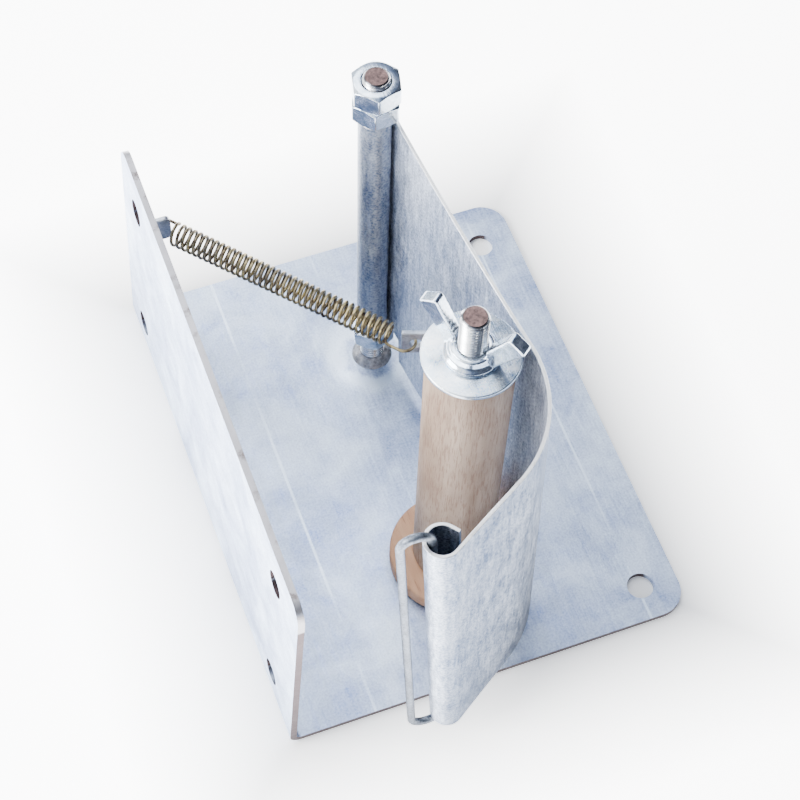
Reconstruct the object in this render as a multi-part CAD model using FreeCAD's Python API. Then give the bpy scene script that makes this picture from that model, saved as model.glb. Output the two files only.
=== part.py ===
"""Wire spool holder with a sprung brake flap, for stringing the wire in bee hive frames.

A galvanised base plate is folded up along one long edge into a mounting flange. Two M8 studs
stand on it. One carries a wooden core on a wooden disc, clamped by a penny washer and a wing
nut. On the other hinges a tall sheet flap, rolled into an eye at one end and into a lip at the
other. An extension spring from the flange pulls the flap against the spool, and the wire runs
out through a loop hooked into the lip.

Frame: origin at the middle of the base plate's underside, +Z up, the flange on the -X side,
and the lip of the flap overhanging the -Y edge. All sizes are in millimetres.
"""
import FreeCAD
import Part
import math
import os

V = FreeCAD.Vector
UP = V(0, 0, 1)

# ---- driving dimensions ------------------------------------------------------------------
# base plate and flange
BASE_WIDTH = 132.0            # X, from the flange's fold to the free edge
BASE_LENGTH = 164.5           # Y
BASE_SHEET = 2.0
BASE_CORNER_R = 9.0
FOLD_INNER_R = 1.5
FLANGE_HEIGHT = 87.5          # from the underside to the flange's top edge
FLANGE_LEAN = 3.3             # degrees, the fold is a little more than square
FLANGE_CORNER_R = 6.0
HOLE_D = 8.5
BASE_HOLE_EDGE = 12.0         # hole centre to the free edge
BASE_HOLE_NEAR = 11.5         # hole centre to the -Y end
BASE_HOLE_FAR = 15.5          # hole centre to the +Y end
FLANGE_HOLE_NEAR = 18.5
FLANGE_HOLE_FAR = 14.5
FLANGE_HOLE_LOW = 13.0        # height of the lower row above the underside
FLANGE_HOLE_HIGH = 72.0

# studs, nuts and welds, M8
STUD_D = 7.9
STUD_CHAMFER = 0.7
PIVOT_X = 3.9
PIVOT_Y = 38.4
SPOOL_Y = -41.6
NUT_AF = 13.0
NUT_HEIGHT = 6.5
NUT_CHAMFER = 30.0            # degrees
WELD_RADIUS = 6.8
WELD_HEIGHT = 2.6
NUT_FACE_SHARE = 0.96         # chamfered face's diameter over the distance across flats
WELD_SHOULDER = (0.6, 0.9)    # how far in and how far up the bead's shoulder is
WELD_NECK = (1.0, 0.5)        # how far out and how far down the bead's neck is
SUPPORT_NUT_Z = 14.5
EYE_GAP_BELOW = 0.4           # between the eye and the nut it stands on
EYE_GAP_ABOVE = 2.0           # between the eye and the nut above it
STUD_PROUD = 1.5              # pivot stud above its lock nut

# brake flap
FLAP_SHEET = 1.0
FLAP_BOTTOM = 9.6
FLAP_TOP = 125.1
EYE_CLEARANCE = 0.1           # radial, stud to eye
EYE_OPENING = 0.1             # how much wider the eye's far half is
EYE_WRAP = 126.0              # degrees of the eye's near half
NOTCH_LENGTH = 10.5           # along the run, cut away under the eye for the support nut
FLAP_HEADING = 5.3            # degrees, the run's slant away from -Y at the top edge
FLAP_TWIST = 2.6              # degrees, the bottom edge is turned out from the top edge
RUN_LENGTH = 84.8             # eye to bend
RUN_BOW = 3.2                 # degrees, the run bows a little towards the spool
BEND_R = 36.6
BEND_TURN = 66.7              # degrees
LIP_RUN_LENGTH = 25.0         # bend to lip
LIP_R = 4.5
LIP_TURN = 261.0
LIP_TAIL = 2.4

# wire guide loop
GUIDE_WIRE_D = 2.4
GUIDE_GAP = 4.7               # lip to the loop's long leg
GUIDE_HOOK_CLEARANCE = 0.2    # short legs to the lip's inside
GUIDE_HOOK_LENGTH = 9.0       # the short legs inside the lip
GUIDE_OVERRUN = 0.3           # rim to where the wire starts to bend
GUIDE_TURN = 4.6              # degrees, the loop's plane from the X axis

# spool
DISC_D = 39.0
DISC_Z = 2.3
DISC_TOP = 9.2
DISC_EDGE_R = 1.0
CORE_D = 24.5
CORE_LENGTH = 112.7
CORE_EDGE_R = 0.6
WOOD_BORE_CLEARANCE = 0.35    # radial, stud to the bores in the wood
WELD_RECESS_CLEARANCE = 0.6
WASHER_D = 27.0
WASHER_PLAY = 0.6             # bore over the stud's diameter
WASHER_THICKNESS = 1.5
FLAP_SWAY = 6.85              # eye's side to the widest part of the spool, across the plate
SPOOL_STUD_TOP = 140.8

# wing nut
# (radius, height) outlines of the hub and of one wing, above the washer
WING_HUB = [(7.8, 0), (7.8, 1.4), (6.6, 2.2), (5.8, 4.2)]
WING_OUTLINE = [(4.7, 1.0), (7.6, 1.0), (8.4, 3.0), (11.9, 8.6), (16.0, 14.3), (10.9, 17.6), (4.7, 6.6)]
WING_TIP_R = 1.0
WING_THICKNESS = 3.6
WING_ANGLE = 127.5            # degrees, as it is left after tightening

# spring and its anchors
SPRING_Z = 52.0
SPRING_D = 8.0
SPRING_WIRE_D = 1.0
SPRING_COILS = 38.5           # the half turn leaves the two hooks on opposite sides
HOOK_LEAD = 25.0              # degrees of the hook's arc that stick out through the hole
HOOK_NECK = 4.0               # straight between the hook's arc and the coils
HOOK_SEAM = 0.15              # between the flap's hook and the coils
FLANGE_TAB_Y = 74.2
FLANGE_TAB_HEIGHT = 10.0
FLANGE_TAB_SHEET = 1.5
FLANGE_TAB_REACH = 10.2       # flange's inner face to the strip's end
FLANGE_TAB_HOLE_D = 3.8
FLANGE_TAB_HOLE_INSET = 6.0
FLANGE_TAB_TIP_R = 1.5
FLAP_TAB_RUN = 33.0           # distance along the flap's run from the eye
FLAP_TAB_TILT = 26.5          # degrees, leans back towards the pivot
FLAP_TAB_HEIGHT = 10.7
FLAP_TAB_SHEET = 1.5
FLAP_TAB_REACH = 9.5
FLAP_TAB_FOOT = 11.0
FLAP_TAB_HOLE_D = 4.0
FLAP_TAB_HOLE_INSET = 4.4
FLAP_TAB_SEAM = 0.15          # between the strip's foot and the flap

# ---- places that follow from them --------------------------------------------------------
HALF_WIDTH = BASE_WIDTH / 2
HALF_LENGTH = BASE_LENGTH / 2
STUD_R = STUD_D / 2
PIVOT = V(PIVOT_X, PIVOT_Y, 0)
EYE_BOTTOM = SUPPORT_NUT_Z + NUT_HEIGHT + EYE_GAP_BELOW
PIVOT_NUT_Z = FLAP_TOP + EYE_GAP_ABOVE
LOCK_NUT_Z = PIVOT_NUT_Z + NUT_HEIGHT
PIVOT_STUD_TOP = LOCK_NUT_Z + NUT_HEIGHT + STUD_PROUD
WASHER_Z = DISC_TOP + CORE_LENGTH
WING_NUT_Z = WASHER_Z + WASHER_THICKNESS
EYE_R = STUD_R + EYE_CLEARANCE + FLAP_SHEET / 2
EYE_OFFSET = EYE_R + EYE_OPENING
SPOOL_R = max(CORE_D, WASHER_D) / 2
SPOOL = V(PIVOT_X + EYE_OFFSET - FLAP_SHEET / 2 + FLAP_SWAY - SPOOL_R, SPOOL_Y, 0)
LEAN = math.radians(FLANGE_LEAN)
COIL_R = (SPRING_D - SPRING_WIRE_D) / 2
FLANGE_HOOK_DEGREES = 90.0     # +Y, square through the flange's strip


def heading(degrees):
    """Unit vector in the XY plane."""
    return V(math.cos(math.radians(degrees)), math.sin(math.radians(degrees)), 0)


def turned(vector, degrees):
    """The vector turned about +Z."""
    return FreeCAD.Rotation(UP, degrees).multVec(vector)


def rod(radius, z_low, z_high, at, chamfer=0.0):
    """Upright cylinder, with its top edge chamfered."""
    solid = Part.makeCylinder(radius, z_high - z_low, at + V(0, 0, z_low))
    if not chamfer:
        return solid
    rims = [e for e in solid.Edges if abs(e.BoundBox.ZMin - z_high) < 1e-6]
    return solid.makeChamfer(chamfer, rims)


def washer_ring(outer_r, inner_r, z_low, z_high, at):
    """Flat ring round a vertical axis."""
    return rod(outer_r, z_low, z_high, at).cut(rod(inner_r, z_low, z_high, at))


def revolved(points, at):
    """Solid of revolution of a closed (radius, z) outline about the vertical through at."""
    outline = Part.makePolygon([V(r, 0, z) for r, z in points + points[:1]])
    solid = Part.Face(outline).revolve(V(0, 0, 0), UP, 360)
    solid.translate(at)
    return solid


# ---- base plate --------------------------------------------------------------------------
def flange_inner_x(z):
    """X of the flange's inner face at a height."""
    return -HALF_WIDTH + BASE_SHEET / math.cos(LEAN) + z * math.tan(LEAN)


def base_section():
    """L-shaped section in the XZ plane, with square corners at the fold."""
    along = V(math.sin(LEAN), 0, math.cos(LEAN))
    across = V(math.cos(LEAN), 0, -math.sin(LEAN))
    foot = V(-HALF_WIDTH, 0, 0)
    top = foot + along * (FLANGE_HEIGHT / math.cos(LEAN))
    inner_top = top + across * BASE_SHEET
    inner_foot = V(flange_inner_x(BASE_SHEET), 0, BASE_SHEET)
    free_edge = [V(HALF_WIDTH, 0, BASE_SHEET), V(HALF_WIDTH, 0, 0)]
    points = [foot, top, inner_top, inner_foot] + free_edge
    return Part.Face(Part.makePolygon(points + points[:1]))


def edges_near(solid, test):
    """The solid's edges whose middle passes the test."""
    return [e for e in solid.Edges if test(e.BoundBox.Center, e.Length)]


def base_plate(tab):
    section = base_section()
    section.translate(V(0, -HALF_LENGTH, 0))
    plate = section.extrude(V(0, BASE_LENGTH, 0))
    long_edge = BASE_LENGTH - 1.0
    inner = edges_near(plate, lambda c, n: n > long_edge and abs(c.z - BASE_SHEET) < 0.1 and c.x < 0)
    plate = plate.makeFillet(FOLD_INNER_R, inner)
    outer = edges_near(plate, lambda c, n: n > long_edge and abs(c.z) < 0.1 and c.x < 0)
    plate = plate.makeFillet(FOLD_INNER_R + BASE_SHEET, outer)
    corners = edges_near(plate, lambda c, n: abs(c.x - HALF_WIDTH) < 0.1 and n < BASE_SHEET + 0.1)
    plate = plate.makeFillet(BASE_CORNER_R, corners)
    top_z = FLANGE_HEIGHT - BASE_SHEET
    tips = edges_near(plate, lambda c, n: c.z > top_z and n < BASE_SHEET + 0.1)
    plate = plate.makeFillet(FLANGE_CORNER_R, tips)
    for y in (BASE_HOLE_NEAR - HALF_LENGTH, HALF_LENGTH - BASE_HOLE_FAR):
        centre = V(HALF_WIDTH - BASE_HOLE_EDGE, y, -1)
        plate = plate.cut(Part.makeCylinder(HOLE_D / 2, BASE_SHEET + 2, centre))
    for hole in flange_hole_centres():
        drill = Part.makeCylinder(HOLE_D / 2, 4 * BASE_SHEET, hole, V(math.cos(LEAN), 0, -math.sin(LEAN)))
        plate = plate.cut(drill)
    return plate.cut(tab)


def flange_hole_centres():
    """Points just outside the flange on the axes of its four holes."""
    out = V(-math.cos(LEAN), 0, math.sin(LEAN)) * BASE_SHEET
    centres = []
    for y in (FLANGE_HOLE_NEAR - HALF_LENGTH, HALF_LENGTH - FLANGE_HOLE_FAR):
        for z in (FLANGE_HOLE_LOW, FLANGE_HOLE_HIGH):
            centres.append(V(-HALF_WIDTH + z * math.tan(LEAN), y, z) + out)
    return centres


def flange_tab_end():
    return flange_inner_x(SPRING_Z) + FLANGE_TAB_REACH


def anchor_hole():
    """Centre of the hole that the spring's fixed end goes through."""
    return V(flange_tab_end() - FLANGE_TAB_HOLE_INSET, FLANGE_TAB_Y, SPRING_Z)


def flange_spring_tab():
    """Upright strip set through a slot in the flange, with its free end rounded and drilled."""
    low = SPRING_Z - FLANGE_TAB_HEIGHT / 2
    tail = -HALF_WIDTH + (low + FLANGE_TAB_HEIGHT) * math.tan(LEAN)
    end = flange_tab_end()
    corner = V(tail, FLANGE_TAB_Y - FLANGE_TAB_SHEET / 2, low)
    strip = Part.makeBox(end - tail, FLANGE_TAB_SHEET, FLANGE_TAB_HEIGHT, corner)
    tips = edges_near(strip, lambda c, n: abs(c.x - end) < 0.01 and n < FLANGE_TAB_SHEET + 0.01)
    strip = strip.makeFillet(FLANGE_TAB_TIP_R, tips)
    drill_start = anchor_hole() - V(0, FLANGE_TAB_SHEET, 0)
    return strip.cut(Part.makeCylinder(FLANGE_TAB_HOLE_D / 2, 2 * FLANGE_TAB_SHEET, drill_start, V(0, 1, 0)))


# ---- studs, nuts, welds ------------------------------------------------------------------
def hex_nut(z_low, at, corner_heading):
    """Hex nut with both faces chamfered, one corner pointing along corner_heading."""
    corner_r = NUT_AF / 2 / math.cos(math.radians(30))
    corners = [heading(corner_heading + 60 * k) * corner_r for k in range(7)]
    prism = Part.Face(Part.makePolygon(corners)).extrude(V(0, 0, NUT_HEIGHT))
    face_r = NUT_AF / 2 * NUT_FACE_SHARE
    drop = (corner_r - face_r) * math.tan(math.radians(NUT_CHAMFER))
    profile = [
        (0, 0),
        (face_r, 0),
        (corner_r, drop),
        (corner_r, NUT_HEIGHT - drop),
        (face_r, NUT_HEIGHT),
        (0, NUT_HEIGHT),
    ]
    nut = prism.common(revolved(profile, V(0, 0, 0)))
    nut = nut.cut(Part.makeCylinder(STUD_R, NUT_HEIGHT))
    nut.translate(at + V(0, 0, z_low))
    return nut


def weld_bead(at):
    """Ring of weld round a stud's foot, hollowed like a fillet."""
    inward, up = WELD_SHOULDER
    outward, down = WELD_NECK
    top = BASE_SHEET + WELD_HEIGHT
    profile = [
        (STUD_R, BASE_SHEET),
        (WELD_RADIUS, BASE_SHEET),
        (WELD_RADIUS - inward, BASE_SHEET + up),
        (STUD_R + outward, top - down),
        (STUD_R, top),
    ]
    return revolved(profile, at)


# ---- brake flap --------------------------------------------------------------------------
class SheetPath:
    """Centre line of a bent sheet seen from above, with its two faces at half the thickness."""

    def __init__(self, start, degrees, half):
        self.point = start
        self.degrees = degrees
        self.half = half
        self.left = []
        self.right = []

    def normal(self):
        return heading(self.degrees + 90) * self.half

    def ahead(self, length):
        """A straight run."""
        start = self.point
        self.point = start + heading(self.degrees) * length
        for edges, side in ((self.left, self.normal()), (self.right, self.normal() * -1)):
            edges.append(Part.makeLine(start + side, self.point + side))

    def bend_centre(self, radius):
        return self.point - heading(self.degrees + 90) * radius

    def bend(self, radius, turn):
        """A round bend through turn degrees: to the right, or to the left if both are negative."""
        centre = self.bend_centre(radius)
        across = heading(self.degrees + 90)
        for edges, r in ((self.left, radius + self.half), (self.right, radius - self.half)):
            ends = [centre + turned(across, -turn * share) * r for share in (0, 0.5, 1)]
            edges.append(Part.Arc(*ends).toShape())
        self.point = centre + turned(across, -turn) * radius
        self.degrees -= turn

    def wire(self):
        """The closed outline, square at both ends."""
        first_left, first_right = self.left[0].Vertexes[0], self.right[0].Vertexes[0]
        last_left, last_right = self.left[-1].Vertexes[-1], self.right[-1].Vertexes[-1]
        head = Part.makeLine(first_right.Point, first_left.Point)
        tail = Part.makeLine(last_left.Point, last_right.Point)
        edges = [head] + self.left + [tail] + self.right[::-1]
        return Part.Wire(Part.__sortEdges__(edges))


def eye_start():
    """Where the sheet's free end lies on the eye, and its direction, for a run that heads for -Y."""
    angle = 180.0 + EYE_WRAP
    return PIVOT + heading(angle) * EYE_R, angle - 90.0


def flap_path():
    """Sheet from the eye's free end, clockwise round the stud, along the spool and into the lip."""
    start, direction = eye_start()
    path = SheetPath(start, direction, FLAP_SHEET / 2)
    path.bend(EYE_R, EYE_WRAP)
    path.bend((EYE_R + EYE_OFFSET) / 2, 180.0 + RUN_BOW / 2)
    path.run_start = path.point
    path.bend(-RUN_LENGTH / math.radians(RUN_BOW), -RUN_BOW)
    path.bend(BEND_R, BEND_TURN)
    path.ahead(LIP_RUN_LENGTH)
    path.lip_centre = path.bend_centre(LIP_R)
    path.bend(LIP_R, LIP_TURN)
    path.ahead(LIP_TAIL)
    return path


def run_place(distance):
    """Point on the run's centre line and its direction, that far from the eye, before the twist."""
    bow = RUN_BOW * distance / RUN_LENGTH
    first = -90.0 - RUN_BOW / 2
    return flap_path().run_start + heading(first + bow / 2) * distance, first + bow


def flap_turn(z):
    """How far the flap's section at a height is turned about the pivot stud, in degrees."""
    return FLAP_HEADING + FLAP_TWIST * (FLAP_TOP - z) / (FLAP_TOP - FLAP_BOTTOM)


def brake_flap():
    """The section carried from the bottom edge to the top edge while it turns a little.

    A notch under the eye leaves room for the nut that carries it."""
    sections = []
    for z in (FLAP_BOTTOM, FLAP_TOP):
        outline = flap_path().wire()
        outline.rotate(PIVOT, UP, flap_turn(z))
        outline.translate(V(0, 0, z))
        sections.append(outline)
    sheet = Part.makeLoft(sections, True, True)
    side = 2 * NOTCH_LENGTH
    notch = Part.makeBox(side, side, EYE_BOTTOM, PIVOT - V(NOTCH_LENGTH, NOTCH_LENGTH, 0))
    notch.rotate(PIVOT, UP, flap_turn(EYE_BOTTOM))
    return sheet.cut(notch)


def on_flap(point, z):
    """A point of the untwisted section, placed on the flap at a height."""
    placed = PIVOT + turned(point - PIVOT, flap_turn(z))
    return V(placed.x, placed.y, z)


def flap_tab_frame():
    """Root on the flap's inner face, direction out along the strip, and the face's direction."""
    middle, degrees = run_place(FLAP_TAB_RUN)
    inner = middle - heading(degrees + 90) * (FLAP_SHEET / 2 + FLAP_TAB_SEAM)
    root = on_flap(inner, SPRING_Z)
    along = heading(degrees + flap_turn(SPRING_Z))
    out = heading(degrees - 90 + flap_turn(SPRING_Z) - FLAP_TAB_TILT)
    return root, out, along


def hook_hole():
    """Centre of the hole that the spring's hook goes through."""
    root, out, along = flap_tab_frame()
    side = turned(out, -90) * (FLAP_TAB_SHEET / 2)
    return root + out * (FLAP_TAB_REACH - FLAP_TAB_HOLE_INSET) + side


def flap_spring_tab():
    """Strip bent into an L, its foot spot-welded to the flap and its leg drilled for the hook."""
    root, out, along = flap_tab_frame()
    inward = turned(along, -90)
    side = turned(out, -90)
    thick = FLAP_TAB_SHEET
    leg_base = root + side * thick
    heel = leg_base - out * ((leg_base - root).dot(inward) / out.dot(inward))
    crook = root + out * (thick / out.dot(inward))
    toe = root + along * FLAP_TAB_FOOT
    points = [
        heel,
        leg_base + out * FLAP_TAB_REACH,
        root + out * FLAP_TAB_REACH,
        crook,
        toe + inward * thick,
        toe,
    ]
    low = V(0, 0, -FLAP_TAB_HEIGHT / 2)
    outline = Part.makePolygon([p + low for p in points + points[:1]])
    strip = Part.Face(outline).extrude(V(0, 0, FLAP_TAB_HEIGHT))
    reach = 2 * FLAP_TAB_REACH
    drill = Part.makeCylinder(FLAP_TAB_HOLE_D / 2, reach, hook_hole() - side * (reach / 2), side)
    return strip.cut(drill)


# ---- wires -------------------------------------------------------------------------------
def swept_wire(edges, diameter):
    """Round wire along a chain of lines and arcs."""
    spine = Part.Wire(edges)
    first = spine.Edges[0]
    start = first.valueAt(first.FirstParameter)
    tangent = first.tangentAt(first.FirstParameter)
    ring = Part.Wire(Part.makeCircle(diameter / 2, start, tangent))
    return spine.makePipeShell([ring], True, True)


def wire_guide_loop():
    """Long leg outside the lip, bent over both rims and hooked down into the lip."""
    centre = flap_path().lip_centre
    low = on_flap(centre, FLAP_BOTTOM)
    high = on_flap(centre, FLAP_TOP)
    wire_r = GUIDE_WIRE_D / 2
    leg_offset = LIP_R + FLAP_SHEET / 2 + GUIDE_GAP + wire_r
    hook_offset = LIP_R - FLAP_SHEET / 2 - wire_r - GUIDE_HOOK_CLEARANCE
    bend_r = (leg_offset - hook_offset) / 2
    out = turned(V(-1, 0, 0), -GUIDE_TURN)
    foot = low + out * leg_offset
    head = high + out * leg_offset
    leg = (head - foot).normalize()
    inward = (leg * leg.dot(out) - out).normalize()
    top = head + leg * GUIDE_OVERRUN
    bottom = foot - leg * GUIDE_OVERRUN
    top_hook = top + inward * (2 * bend_r)
    bottom_hook = bottom + inward * (2 * bend_r)
    edges = [
        Part.makeLine(bottom_hook + leg * GUIDE_HOOK_LENGTH, bottom_hook),
        Part.Arc(bottom_hook, bottom + (inward - leg) * bend_r, bottom).toShape(),
        Part.makeLine(bottom, top),
        Part.Arc(top, top + (inward + leg) * bend_r, top_hook).toShape(),
        Part.makeLine(top_hook, top_hook - leg * GUIDE_HOOK_LENGTH),
    ]
    return swept_wire(edges, GUIDE_WIRE_D)


def hook_centre(hole, degrees):
    """Centre of a hook's arc, which passes square through its strip at the hole."""
    return hole + heading(degrees - 90) * COIL_R


def flap_hook_degrees():
    """Direction through the flap's strip, from the hook's tip."""
    out = flap_tab_frame()[1]
    return math.degrees(math.atan2(out.y, out.x)) + 90


def coil_axis():
    """Ends of the coils' axis: both stand a neck's length off the hook centres."""
    first = hook_centre(anchor_hole(), FLANGE_HOOK_DEGREES)
    last = hook_centre(hook_hole(), flap_hook_degrees())
    neck = (last - first).normalize() * HOOK_NECK
    return first + neck, last - neck


def spring_end(hole, degrees, coils, neck_length):
    """Level hook: an arc through the hole, then a straight neck along the vector coils."""
    last = math.degrees(math.atan2(coils.y, coils.x))
    turn = (degrees - last) % 360
    centre = hook_centre(hole, degrees)
    places = [degrees + 90 + HOOK_LEAD, degrees + 90 + (HOOK_LEAD - turn) / 2, last + 90]
    ends = [centre + heading(place) * COIL_R for place in places]
    neck = Part.makeLine(ends[2], ends[2] + heading(last) * neck_length)
    return swept_wire([Part.Arc(*ends).toShape(), neck], SPRING_WIRE_D)


def extension_spring():
    """Open helix between the two hooks, and the hook at the flange."""
    first, last = coil_axis()
    along = last - first
    axis = V(along).normalize()
    helix = Part.makeHelix(along.Length / SPRING_COILS, along.Length, COIL_R)
    ring = Part.Wire(Part.makeCircle(SPRING_WIRE_D / 2, V(COIL_R, 0, 0), V(0, 1, 0)))
    coils = Part.Wire(helix).makePipeShell([ring], True, True)
    coils.Placement = FreeCAD.Placement(first, FreeCAD.Rotation(UP.cross(axis), UP, axis, "ZXY"))
    near = spring_end(anchor_hole(), FLANGE_HOOK_DEGREES, along, HOOK_NECK)
    return Part.makeCompound([coils, near])


def spring_hook():
    """The spring's hook at the flap, which stops a seam short of the last coil."""
    first, last = coil_axis()
    neck_length = HOOK_NECK - SPRING_WIRE_D / 2 - HOOK_SEAM
    return spring_end(hook_hole(), flap_hook_degrees(), first - last, neck_length)


# ---- spool -------------------------------------------------------------------------------
def rounded_rims(solid, radius, outer_r):
    """Round the rims of the outer wall."""
    circles = [e for e in solid.Edges if e.BoundBox.ZLength < 1e-6]
    rims = [e for e in circles if abs(e.BoundBox.XLength - 2 * outer_r) < 1e-3]
    return solid.makeFillet(radius, rims)


def spool_disc():
    """Wooden disc with a bore for the stud and a recess over the weld."""
    bore_r = STUD_R + WOOD_BORE_CLEARANCE
    disc = rounded_rims(rod(DISC_D / 2, DISC_Z, DISC_TOP, SPOOL), DISC_EDGE_R, DISC_D / 2)
    recess_top = BASE_SHEET + WELD_HEIGHT + WELD_RECESS_CLEARANCE
    recess = rod(WELD_RADIUS + WELD_RECESS_CLEARANCE, DISC_Z, recess_top, SPOOL)
    return disc.cut(rod(bore_r, DISC_Z, DISC_TOP, SPOOL)).cut(recess)


def spool_core():
    """Wooden dowel with a bore for the stud."""
    bore_r = STUD_R + WOOD_BORE_CLEARANCE
    dowel = rounded_rims(rod(CORE_D / 2, DISC_TOP, WASHER_Z, SPOOL), CORE_EDGE_R, CORE_D / 2)
    return dowel.cut(rod(bore_r, DISC_TOP, WASHER_Z, SPOOL))


def wing():
    """One wing in the XZ plane: a thick strap that rises outwards to a slanted end."""
    half = V(0, WING_THICKNESS / 2, 0)
    outline = [V(r, 0, z) - half for r, z in WING_OUTLINE]
    strap = Part.Face(Part.makePolygon(outline + outline[:1])).extrude(half * 2)
    ends = [V(r, 0, z) for r, z in WING_OUTLINE[4:6]]
    tips = edges_near(strap, lambda c, n: min((c - end).Length for end in ends) < 0.01)
    return strap.makeFillet(WING_TIP_R, tips)


def wing_nut():
    """Low hub with a collar and two wings, turned to WING_ANGLE."""
    top = WING_HUB[-1][1]
    hub = revolved([(0, 0)] + WING_HUB + [(0, top)], V(0, 0, 0))
    other = wing()
    other.rotate(V(0, 0, 0), UP, 180)
    nut = hub.fuse([wing(), other]).removeSplitter()
    nut = nut.cut(Part.makeCylinder(STUD_R, top))
    nut.rotate(V(0, 0, 0), UP, WING_ANGLE)
    nut.translate(SPOOL + V(0, 0, WING_NUT_Z))
    return nut


def main():
    os.makedirs("parts", exist_ok=True)
    tab = flange_spring_tab()
    nodes = {
        "base_plate": base_plate(tab),
        "flange_spring_tab": tab,
        "pivot_stud": rod(STUD_R, BASE_SHEET, PIVOT_STUD_TOP, PIVOT, STUD_CHAMFER),
        "pivot_weld": weld_bead(PIVOT),
        "pivot_support_nut": hex_nut(SUPPORT_NUT_Z, PIVOT, -100),
        "pivot_nut": hex_nut(PIVOT_NUT_Z, PIVOT, -112),
        "pivot_lock_nut": hex_nut(LOCK_NUT_Z, PIVOT, -104),
        "brake_flap": brake_flap(),
        "flap_spring_tab": flap_spring_tab(),
        "wire_guide_loop": wire_guide_loop(),
        "extension_spring": extension_spring(),
        "spring_hook": spring_hook(),
        "spool_stud": rod(STUD_R, BASE_SHEET, SPOOL_STUD_TOP, SPOOL, STUD_CHAMFER),
        "spool_weld": weld_bead(SPOOL),
        "spool_disc": spool_disc(),
        "spool_core": spool_core(),
        "clamp_washer": washer_ring(WASHER_D / 2, (STUD_D + WASHER_PLAY) / 2, WASHER_Z, WING_NUT_Z, SPOOL),
        "wing_nut": wing_nut(),
    }
    for name, shape in nodes.items():
        shape.exportStep(f"parts/{name}.step")
        box = shape.BoundBox
        print(f"{name}: {len(shape.Solids)} solid, valid {shape.isValid()}, {shape.Volume:.1f} mm3,"
              f" z {box.ZMin:.1f} to {box.ZMax:.1f}")
    hook, anchor = hook_hole(), anchor_hole()
    print("spring runs from", [round(c, 2) for c in anchor], "to", [round(c, 2) for c in hook])


main()
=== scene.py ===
# %% [markdown]
# Wire spool holder with a sprung brake flap, for the wire in bee hive frames.
#
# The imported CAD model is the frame. The base plate keeps its CAD mesh. Every other piece is
# rebuilt in its CAD place with the detail a person would see: screw threads, nut chamfers,
# the coils of the spring and weld beads.
# All lengths are metres, with +Z up the two studs and the flange on the -X side.

# %%
import math

import bmesh
import bpy
import numpy as np
from mathutils import Matrix, Vector


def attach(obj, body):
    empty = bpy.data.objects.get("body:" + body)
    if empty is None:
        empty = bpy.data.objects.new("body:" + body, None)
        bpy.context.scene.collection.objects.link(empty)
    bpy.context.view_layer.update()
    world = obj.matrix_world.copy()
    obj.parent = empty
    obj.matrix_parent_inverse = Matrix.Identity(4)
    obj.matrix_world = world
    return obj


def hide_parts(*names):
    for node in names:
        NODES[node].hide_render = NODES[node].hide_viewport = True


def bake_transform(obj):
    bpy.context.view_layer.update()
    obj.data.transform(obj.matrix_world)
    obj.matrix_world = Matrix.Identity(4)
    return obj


MM = 0.001
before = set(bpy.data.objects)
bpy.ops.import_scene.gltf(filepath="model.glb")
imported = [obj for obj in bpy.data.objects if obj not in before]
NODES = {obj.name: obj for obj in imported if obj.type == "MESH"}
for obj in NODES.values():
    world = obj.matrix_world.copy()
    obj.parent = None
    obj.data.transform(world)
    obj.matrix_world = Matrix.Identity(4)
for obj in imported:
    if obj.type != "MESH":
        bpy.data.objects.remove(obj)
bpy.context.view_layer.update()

# %% [markdown]
# ## Sizes
# The same sizes as the CAD model, for the pieces that are rebuilt here.

# %%
PIVOT = np.array([3.9, 38.4]) * MM
SPOOL = np.array([1.4, -41.6]) * MM
STUD_R = 3.95 * MM
THREAD_PITCH = 1.25 * MM
THREAD_DEPTH = 0.62 * MM
NUT_FLATS = 13.0 * MM
NUT_HEIGHT = 6.5 * MM
SHEET = 1.0 * MM
PLATE = 2.0 * MM
FLAP_BOTTOM = 9.6 * MM
FLAP_TOP = 125.1 * MM
FLAP_HEADING = 5.3
FLAP_TWIST = 2.6
NOTCH_REACH = 10.5 * MM
NOTCH_TOP = 21.4 * MM
WIRE_R = 0.5 * MM
COIL_R = 3.5 * MM
COILS = 38.5
SPRING_Z = 52.0 * MM
TURN = 2 * math.pi


def heading(degrees):
    """Unit vectors (cos a, sin a) for an angle or an array of angles."""
    a = np.radians(degrees)
    return np.stack([np.cos(a), np.sin(a)], axis=-1)


# %% [markdown]
# ## Meshes from arrays
# Every rebuilt piece is a grid of points worked out by one formula, then skinned with quads.

# %%
def skin(name, points, ring=True, loop=False, caps=False):
    """Mesh through points[row, column, xyz]; ring joins the columns' ends, loop the rows' ends."""
    rows, columns, _ = points.shape
    index = np.arange(rows * columns).reshape(rows, columns)
    wide = np.hstack([index, index[:, :1]]) if ring else index
    tall = np.vstack([wide, wide[:1]]) if loop else wide
    quads = np.stack([tall[:-1, :-1], tall[:-1, 1:], tall[1:, 1:], tall[1:, :-1]], axis=-1)
    faces = quads.reshape(-1, 4).tolist()
    if caps:
        faces += [index[0][::-1].tolist(), index[-1].tolist()]
    mesh = bpy.data.meshes.new(name)
    mesh.from_pydata(points.reshape(-1, 3).tolist(), [], faces)
    tidy = bmesh.new()
    tidy.from_mesh(mesh)
    bmesh.ops.remove_doubles(tidy, verts=tidy.verts, dist=1e-7)
    bmesh.ops.recalc_face_normals(tidy, faces=tidy.faces)
    tidy.to_mesh(mesh)
    tidy.free()
    return finished(name, mesh)


def finished(name, mesh, crease=32):
    """Object with smooth faces that stay sharp across edges over crease degrees."""
    mesh.polygons.foreach_set("use_smooth", [True] * len(mesh.polygons))
    mesh.set_sharp_from_angle(angle=math.radians(crease))
    piece = bpy.data.objects.new(name, mesh)
    bpy.context.scene.collection.objects.link(piece)
    return piece


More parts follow.
